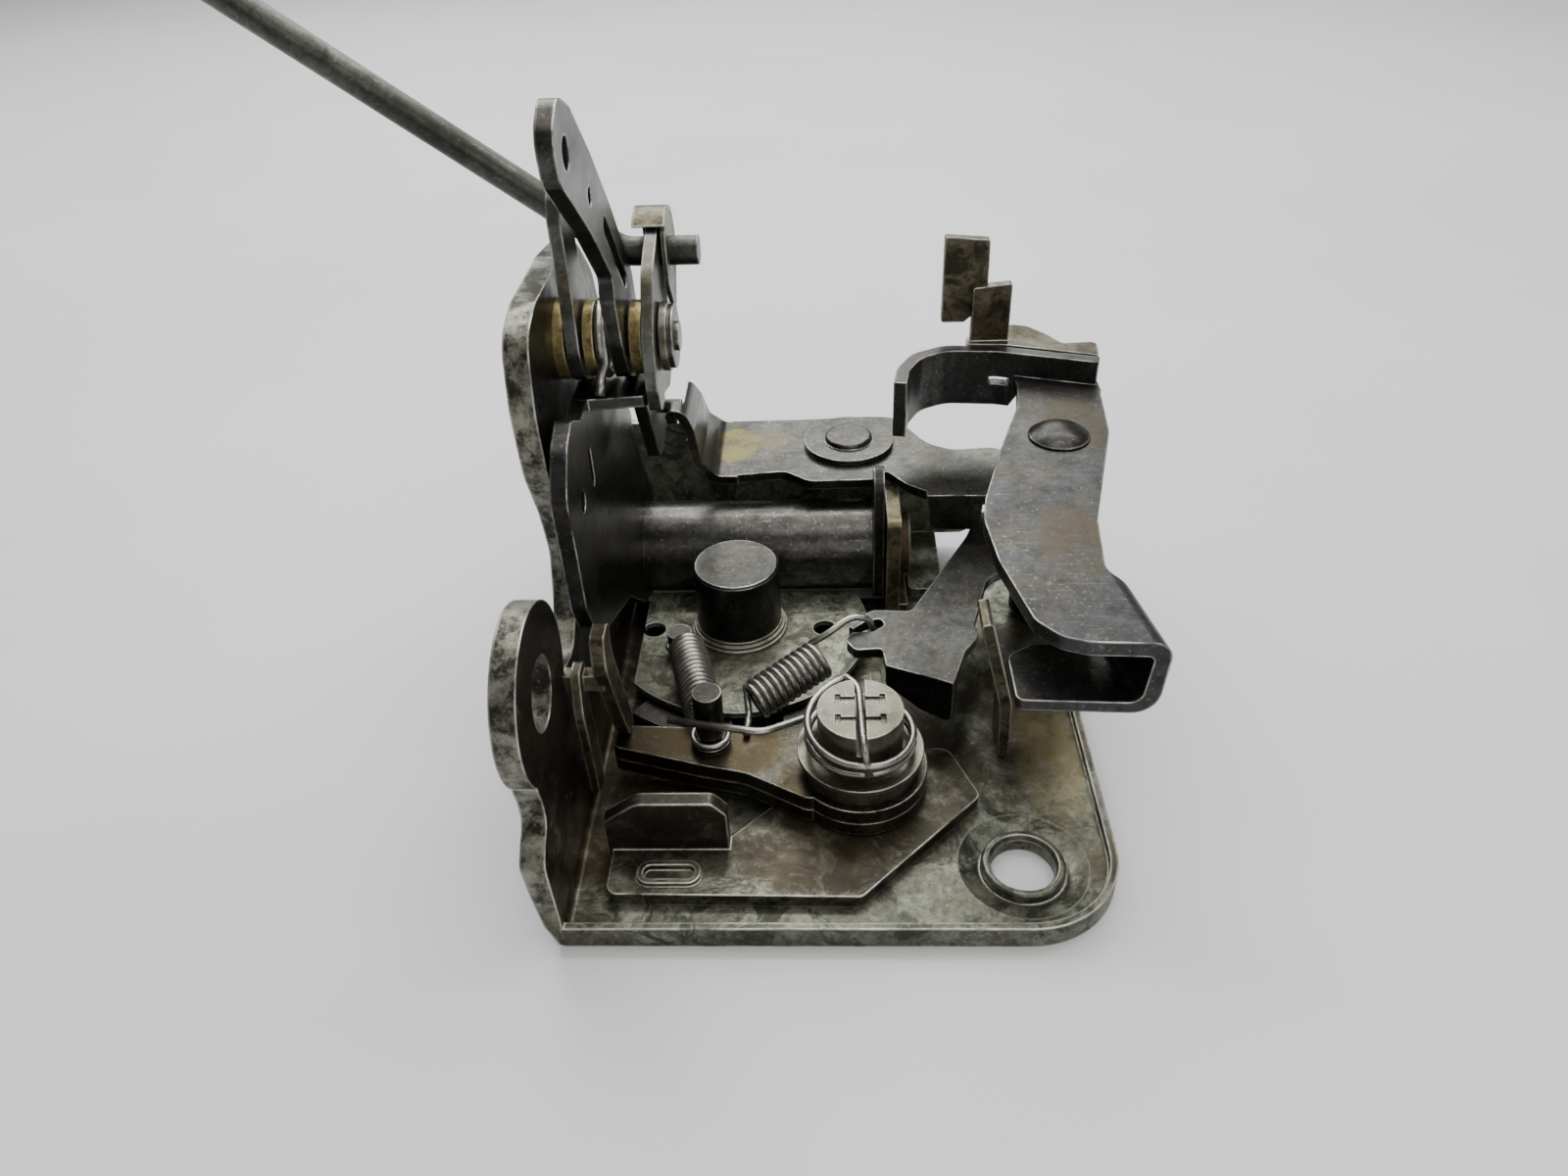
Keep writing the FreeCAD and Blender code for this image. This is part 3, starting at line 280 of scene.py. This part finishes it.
def steel(name, base, light, wear=(0.58, 0.57, 0.54), rough=0.36, grain=0.35, edge_wear=0.85,
          tint=None, mottled=0.45, zones=()):
    """Bare or oiled pressed steel: cloudy oil film, fine scratches, worn bright edges."""
    n = Nodes(name)
    cloud = n.noise(55, 5, 0.6, 0.6)
    fine = n.noise(900, 3, 0.6)
    speck = n.ramp(n.noise(1900, 2, 0.5), 0.62, 0.74)
    scratch = n.ramp(n.noise(260, 2, 0.4, 0, n.stretched((1, 9, 1), (0, 0, 0.5))), 0.60, 0.70)
    tone = n.mix(n.ramp(cloud, 0.32, 0.70), rgba(base), rgba(light))
    if tint:
        film = n.ramp(n.noise(78, 6, 0.65, 1.4), 0.44, 0.66, 0.0, 0.75)
        tone = n.mix(film, tone, rgba(tint))
    grime = n.ramp(n.noise(330, 5, 0.7, 0.5), 0.50, 0.70, 0.0, 0.65)
    tone = n.mix(grime, tone, rgba([0.35 * c for c in base]))
    mottle = n.ramp(n.noise(720, 6, 0.8, 0.3), 0.44, 0.58, 0.0, mottled)
    tone = n.mix(mottle, tone, rgba([0.50 * c for c in base]))
    tone = n.mix(n.maths("MULTIPLY", speck, 0.30 * grain), tone, rgba(wear))
    tone = n.mix(n.maths("MULTIPLY", scratch, 0.08 * grain), tone, rgba(wear))
    tone = zoned(n, tone, zones)
    rub = n.ramp(n.noise(210, 4, 0.65), 0.34, 0.60)
    edge = n.maths("MULTIPLY", n.edge(STEEL_ROUND * 1.6), n.maths("MULTIPLY", rub, edge_wear))
    tone = n.mix(edge, tone, rgba(wear))
    dull = n.ramp(n.noise(140, 5, 0.65, 0.3), 0.3, 0.72, rough - 0.07, rough + 0.10)
    worn = n.maths("SUBTRACT", dull, n.maths("MULTIPLY", edge, 0.12))
    n.set(Base_Color=tone, Metallic=0.9, Roughness=worn)
    height = n.maths("ADD", n.maths("MULTIPLY", fine, 0.4), n.maths("MULTIPLY", cloud, 0.6))
    n.bump(height, 0.22 + 0.3 * grain, 0.00006, STEEL_ROUND)
    return n.mat


def plating(name, base, light, stain, rough=0.36, metal=0.7, dirt=0.5, speckles=0.5, edge_wear=0.8,
            wear=(0.56, 0.55, 0.49), zones=(), bare=None):
    """Old zinc plating: greenish grey, brown stains, small dark speckles, dark oily zones and zones of
    painted shade, worn edges.
    """
    n = Nodes(name)
    cloud = n.noise(85, 7, 0.68, 1.2)
    tone = n.mix(n.ramp(cloud, 0.34, 0.66), rgba(base), rgba(light))
    mottle = n.ramp(n.noise(460, 7, 0.78, 0.4), 0.43, 0.59)
    tone = n.mix(n.maths("MULTIPLY", mottle, 0.75), tone, rgba([0.42 * c for c in base]))
    patchy = n.ramp(n.noise(46, 6, 0.66, 1.6), 0.66 - 0.30 * dirt, 0.76 - 0.24 * dirt)
    grime = n.ramp(n.noise(240, 6, 0.75, 0.8), 0.38, 0.64)
    stained = n.maths("ADD", n.maths("MULTIPLY", grime, 0.75), 0.2)
    tone = n.mix(n.maths("MULTIPLY", patchy, stained), tone, rgba(stain))
    soot = n.ramp(n.noise(130, 7, 0.75, 1.0), 0.515, 0.585, 0.0, 0.85)
    tone = n.mix(soot, tone, rgba([0.25 * c for c in base]))
    dots = n.ramp(n.noise(1250, 3, 0.55), 0.56, 0.66)
    tone = n.mix(n.maths("MULTIPLY", dots, 0.55 * speckles), tone, rgba(SPECKLE))
    tone = zoned(n, tone, zones)
    rub = n.ramp(n.noise(230, 4, 0.65), 0.32, 0.56)
    edge = n.maths("MULTIPLY", n.edge(PLATING_ROUND * 1.7), n.maths("MULTIPLY", rub, edge_wear))
    if bare:
        rubbed = n.ramp(n.noise(300, 6, 0.75), 0.44, 0.60)
        tone = n.mix(n.maths("MULTIPLY", n.sheared(), rubbed), tone, rgba(bare))
    tone = n.mix(edge, tone, rgba(wear))
    dull = n.ramp(n.noise(110, 5, 0.65, 0.5), 0.3, 0.72, rough - 0.12, rough + 0.24)
    worn = n.maths("SUBTRACT", dull, n.maths("MULTIPLY", edge, 0.1))
    n.set(Base_Color=tone, Metallic=metal, Roughness=worn)
    fine = n.maths("MULTIPLY", n.noise(1000, 3, 0.6), 0.45)
    height = n.maths("ADD", fine, n.maths("MULTIPLY", cloud, 0.55))
    n.bump(height, 0.5, 0.00010, PLATING_ROUND)
    return n.mat


# spots on the pieces, stains and painted shade: centre and radius in millimetres, stretch, colour, cover
# where thin and thick
PLATE_SPOTS = (
    # long near-black spot over the inside of the upright flange: part oil stain, part painted shade
    ((-1, 40, 36), 52, (9, 1, 1), OIL_AND_SHADE_BLACK, (0.88, 0.96)),
    ((20, 58, 2), 24, (1, 1, 1), DRIED_GREASE, (0.34, 0.85)),
    ((6, 24, 2), 9, (0.7, 0.5, 1), (0.055, 0.036, 0.015), (0.34, 0.85)),
    # brown-black spot round the foot of the upright bracket: painted shade on its shadowed lower part and
    # on the plate beside it
    ((54, 36, 2), 13, (0.9, 0.9, 1), (0.026, 0.021, 0.012), (0.36, 0.90)),
    ((66, 47, 2), 9, (1.3, 0.6, 1), (0.050, 0.043, 0.025), (0.30, 0.75)),
    ((68, 12, 2), 4, (0.6, 1, 1), (0.045, 0.035, 0.018), (0.28, 0.70)),
    ((63.5, 30, 2), 5, (1, 0.35, 1), (0.14, 0.11, 0.05), (0.24, 0.60)))
REINFORCEMENT_SPOTS = (
    ((30, 13, 4), 9, (0.8, 1, 1), (0.030, 0.022, 0.011), (0.36, 0.90)),
    ((47, 21, 4), 10, (1, 0.8, 1), (0.026, 0.021, 0.011), (0.35, 0.88)),
    ((12, 12, 8), 8, (0.8, 2.4, 1.4), (0.020, 0.018, 0.014), (0.36, 0.90)))
DECK_SPOTS = (
    ((19.4, 55, 5), 9.5, (1, 1, 1), (0.06, 0.048, 0.026), (0.24, 0.60)),
    ((8, 40, 4), 9, (0.8, 0.8, 1), (0.035, 0.030, 0.018), (0.28, 0.70)))
LEVER_SPOTS = (
    ((64, 36, 34), 5.0, (1, 0.6, 1), BROWN_TINT, (0.28, 0.70)),
    ((70, 66, 34), 4.5, (1, 0.6, 1), BROWN_TINT, (0.28, 0.70)))
ARM_SPOTS = (
    ((18.5, 82, 22), 3.8, (1, 0.7, 1), (0.135, 0.115, 0.036), (0.34, 0.85)),
    ((24, 84, 22), 2.8, (1, 0.7, 1), (0.11, 0.095, 0.04), (0.28, 0.70)))
PAWL_SPOTS = (
    ((9, 26, 8), 6.5, (1, 1, 1), BROWN_GREASE, (0.36, 0.90)),
    ((22, 25, 8), 5.0, (1, 1, 1), BROWN_GREASE, (0.32, 0.80)),
    ((30, 16, 7), 4.5, (1, 1, 1), BROWN_GREASE, (0.32, 0.80)))

# plated finishes: darker colour, lighter colour, stain, then what differs from the usual
PLATED = {
    "zinc_plate": dict(
        base=(0.080, 0.082, 0.063), light=(0.260, 0.264, 0.214), stain=(0.040, 0.029, 0.015),
        dirt=0.6, speckles=0.7, edge_wear=1.0, rough=0.34, zones=PLATE_SPOTS, bare=(0.22, 0.21, 0.175)),
    "zinc_plate_stained": dict(
        base=(0.062, 0.060, 0.046), light=(0.225, 0.220, 0.175), stain=(0.040, 0.028, 0.013),
        dirt=0.7, speckles=0.8, edge_wear=1.0, rough=0.34, zones=REINFORCEMENT_SPOTS),
    "speckled_zinc": dict(
        base=(0.19, 0.196, 0.150), light=(0.42, 0.425, 0.35), stain=(0.070, 0.055, 0.028),
        speckles=1.0, dirt=0.42, rough=0.46, zones=DECK_SPOTS),
    "brown_steel": dict(
        base=(0.085, 0.072, 0.046), light=(0.19, 0.168, 0.118), stain=(0.045, 0.030, 0.014),
        dirt=0.6, metal=0.75, edge_wear=0.9),
    "yellow_zinc": dict(
        base=(0.165, 0.140, 0.075), light=(0.30, 0.265, 0.155), stain=(0.08, 0.052, 0.02), metal=0.75),
    "rusty_steel": dict(
        base=(0.07, 0.037, 0.018), light=(0.13, 0.068, 0.034), stain=(0.03, 0.015, 0.008),
        metal=0.3, rough=0.55),
    "yellow_brass": dict(
        base=(0.26, 0.195, 0.075), light=(0.44, 0.355, 0.165), stain=(0.085, 0.052, 0.018),
        metal=0.8, dirt=0.6, speckles=0.6, wear=(0.66, 0.58, 0.36)),
}

# bare and oiled steels: darker colour, lighter colour, then what differs from the usual
STEELS = {
    "oiled_steel": dict(
        base=(0.026, 0.026, 0.026), light=(0.070, 0.069, 0.067), tint=(0.055, 0.045, 0.031), rough=0.32),
    "blued_steel": dict(
        base=(0.034, 0.035, 0.037), light=(0.078, 0.078, 0.079), tint=(0.070, 0.055, 0.038),
        grain=0.5, rough=0.38, zones=LEVER_SPOTS),
    "arm_steel": dict(
        base=(0.036, 0.035, 0.033), light=(0.105, 0.103, 0.097), tint=(0.080, 0.066, 0.042),
        grain=0.7, rough=0.31, zones=ARM_SPOTS),
    "tube_steel": dict(
        base=(0.045, 0.043, 0.040), light=(0.135, 0.131, 0.122), rough=0.27, grain=0.8),
    "greasy_steel": dict(
        base=(0.028, 0.026, 0.020), light=(0.080, 0.074, 0.058), tint=(0.062, 0.048, 0.024),
        grain=0.5, rough=0.32, zones=PAWL_SPOTS),
    "dark_steel": dict(
        base=(0.020, 0.020, 0.019), light=(0.062, 0.060, 0.056), tint=(0.05, 0.04, 0.028),
        edge_wear=0.9),
    "worn_nickel": dict(
        base=(0.095, 0.090, 0.074), light=(0.215, 0.206, 0.175), tint=(0.14, 0.115, 0.07),
        rough=0.34, grain=0.8, edge_wear=0.6, mottled=0.2),
    "spring_wire": dict(
        base=(0.20, 0.194, 0.176), light=(0.48, 0.465, 0.425), rough=0.27, edge_wear=0.0, mottled=0.1),
    "grey_steel": dict(
        base=(0.075, 0.075, 0.070), light=(0.165, 0.163, 0.155), tint=(0.12, 0.10, 0.055), rough=0.38),
    "rod_steel": dict(
        base=(0.042, 0.045, 0.038), light=(0.110, 0.115, 0.100), rough=0.38),
}


def materials():
    """One material for each material slot."""
    made = {name: plating(name, **look) for name, look in PLATED.items()}
    made.update({name: steel(name, **look) for name, look in STEELS.items()})
    return made


def floor():
    n = Nodes("pale_floor")
    tone = n.mix(n.ramp(n.noise(7, 3), 0.3, 0.7), rgba(FLOOR_DARK), rgba(FLOOR_LIGHT))
    n.set(Base_Color=tone, Roughness=0.55)
    mesh = bpy.data.meshes.new("floor")
    low, reach = BOX_LOW[2], FLOOR_REACH
    corners = [(-reach, -reach, low), (reach, -reach, low), (reach, reach, low), (-reach, reach, low)]
    mesh.from_pydata(corners, [], [(0, 1, 2, 3)])
    obj = bpy.data.objects.new("floor", mesh)
    obj.data.materials.append(n.mat)
    COLLECTION.objects.link(obj)


# ---- wire pieces ----
def eased(points, bend, steps):
    """Rounds the corners of a path; bend is how far from the corner the curve starts, in mm."""
    path = [points[0]]
    for before, corner, after in zip(points, points[1:], points[2:]):
        a, b = before - corner, after - corner
        reach_a, reach_b = min(bend * MM, 0.45 * a.length), min(bend * MM, 0.45 * b.length)
        start, end = corner + a.normalized() * reach_a, corner + b.normalized() * reach_b
        for i in range(steps + 1):
            t = i / steps
            path.append(start * (1 - t) ** 2 + corner * 2 * t * (1 - t) + end * t ** 2)
    path.append(points[-1])
    return path


def helix(a, b, turns, radius, first):
    """Points on a coil from a to b; first is the angle of the first point in degrees."""
    axis = (b - a).normalized()
    side = axis.orthogonal().normalized()
    other = axis.cross(side)
    count = turns * STEPS_A_TURN
    points = []
    for i in range(count + 1):
        angle = math.radians(first) + 2 * math.pi * turns * i / count
        middle = a.lerp(b, i / count)
        points.append(middle + (side * math.cos(angle) + other * math.sin(angle)) * radius * MM)
    return points


def wire(name, path, thickness, node, pulled=None):
    """Round wire along a path, closed at both ends. The body and points in pulled are not used: a wire
    given pulled just has its transform baked in, any other is attached to the case."""
    radius = thickness / 2 * MM
    shortest = 0.04 * MM
    sides = WIRE_SIDES
    clean = [path[0]]
    for p in path[1:]:
        if (p - clean[-1]).length > shortest:
            clean.append(p)
    verts, faces = [], []
    side = (clean[1] - clean[0]).orthogonal().normalized()
    for i, p in enumerate(clean):
        along = (clean[min(i + 1, len(clean) - 1)] - clean[max(i - 1, 0)]).normalized()
        side = (side - along * side.dot(along)).normalized()
        other = along.cross(side)
        for k in range(sides):
            angle = 2 * math.pi * k / sides
            verts.append(p + (side * math.cos(angle) + other * math.sin(angle)) * radius)
    for i in range(len(clean) - 1):
        for k in range(sides):
            j = (k + 1) % sides
            faces.append((i * sides + k, i * sides + j, (i + 1) * sides + j, (i + 1) * sides + k))
    faces.append(tuple(reversed(range(sides))))
    faces.append(tuple(len(verts) - sides + k for k in range(sides)))
    mesh = bpy.data.meshes.new(name)
    mesh.from_pydata(verts, [], faces)
    for face in mesh.polygons:
        face.use_smooth = len(face.vertices) == 4
    mesh.materials.append(MATERIALS["spring_wire"])
    piece = bpy.data.objects.new(name, mesh)
    COLLECTION.objects.link(piece)
    if pulled:
        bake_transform(piece)
    else:
        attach(piece, "case")
    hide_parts(node)


def loop(centre, radius, start, end):
    """Flat loop about a vertical axis between two angles in degrees."""
    steps = 20
    points = []
    for i in range(steps + 1):
        angle = math.radians(start + (end - start) * i / steps)
        points.append(centre + Vector((math.cos(angle), math.sin(angle), 0)) * radius * MM)
    return points


def torsion_spring():
    """One wire: over the head through its slot, down round it twice, then out as the bent front leg."""
    x, y = STUD
    over = [at(x + 0.9, y - 7.0, 13.2), at(x + 0.2, y - 5.8, STUD_TOP - 0.5),
            at(x - 0.1, y + 4.4, STUD_TOP - 0.4)]
    coil = []
    for degrees in range(TORSION_FIRST, TORSION_LAST, TORSION_STEP):
        angle = math.radians(degrees)
        sink = min(1.0, (degrees - TORSION_FIRST) / TORSION_SINK)
        wound = max(0, degrees - TORSION_FIRST - TORSION_SINK) / 360
        z = TORSION_TOP - TORSION_DROP * sink ** 0.75 - TORSION_PITCH * wound
        coil.append(at(x + TORSION_R * math.cos(angle), y + TORSION_R * math.sin(angle), z))
    leg = eased([coil[-1], at(24.6, 21.6, 14.5), at(12.4, 23.6, 14.9)], 1.4, 8)
    path = eased(over + [coil[0]], 1.5, 8)[:-1] + coil + leg[1:]
    wire("pawl_torsion_spring_wire", path, TORSION_WIRE, "pawl_torsion_spring",
         ("pawl", at(x - 7.0, y, 14.5), at(x - 17.0, y, 14.5)))


def pawl_return_spring():
    """A ring round the spring post, the coil, and a ring round the pawl pin."""
    near_post, near_pin = at(12.3, 45.0, 9.2), at(16.0, 30.6, 10.4)
    off_post, on_pin = at(12.2, 46.3, 7.6), at(16.7, 29.4, 9.9)
    wrap = loop(at(*SPRING_POST, 6.5), 1.95, 200, -75)
    hold = loop(at(*PAWL_PIN, 9.9), 2.4, 100, 380)
    body = helix(near_post, near_pin, RETURN_TURNS, RETURN_R, 40)
    path = eased(wrap, 0.2, 2) + [off_post] + body + [on_pin] + hold
    wire("pawl_return_spring_coil", path, RETURN_WIRE, "pawl_return_spring",
         ("pawl", near_post, on_pin))


def release_lever_spring():
    """Coil from the pawl to the release lever's hook, made as two wires that meet in the middle of the
    coil.
    """
    near_pawl, near_hook = at(23.0, 32.4, 10.0), at(32.2, 38.8, 12.2)
    tail_bend, hook_bend = at(22.3, 30.2, 9.2), at(33.4, 40.2, 15.6)
    body = helix(near_pawl, near_hook, RELEASE_TURNS, RELEASE_R, 20)
    hook = eased([body[-1], hook_bend, at(36.4, 42.3, 16.8), at(39.2, 42.8, 16.0),
                  at(39.7, 42.6, 12.9)], 1.6, 8)
    tail = eased([at(22.0, 26.8, 9.2), tail_bend, body[0]], 0.9, 6)
    half = len(body) // 2
    middle = near_pawl.lerp(near_hook, 0.5)
    wire("release_lever_spring_coil", tail + body[1:half + 1], RELEASE_WIRE, "release_lever_spring",
         ("pawl", middle, tail_bend))
    wire("release_lever_spring_hook", body[half:] + hook[1:], RELEASE_WIRE, "release_lever_spring",
         ("release_lever", middle, hook_bend))


def lock_detent_spring():
    """A little over one turn round the lever stack, with one short leg down to the crank."""
    y, z = STACK
    steps = 49
    turn = []
    for i in range(steps + 1):
        angle = math.radians(180 - DETENT_SWEEP * i / steps)
        x = 6.75 - 0.8 * i / steps
        turn.append(at(x, y + DETENT_R * math.cos(angle), z + DETENT_R * math.sin(angle)))
    leg = [at(5.6, 42.0, 52.0), at(5.9, 43.1, 54.2), at(6.6, y - 4.4, z - 1.2)]
    wire("lock_detent_spring_coil", eased(leg, 0.8, 5) + turn, DETENT_WIRE, "lock_detent_spring")


camera()
studio()
floor()
MATERIALS = materials()
SLOT_OF = {part["node"]: part["material_slot"] for part in frame["record"]["subparts"]}
for node_name, node in frame["nodes"].items():
    for place in node.material_slots:
        place.material = MATERIALS[SLOT_OF[node_name]]
torsion_spring()
pawl_return_spring()
release_lever_spring()
lock_detent_spring()
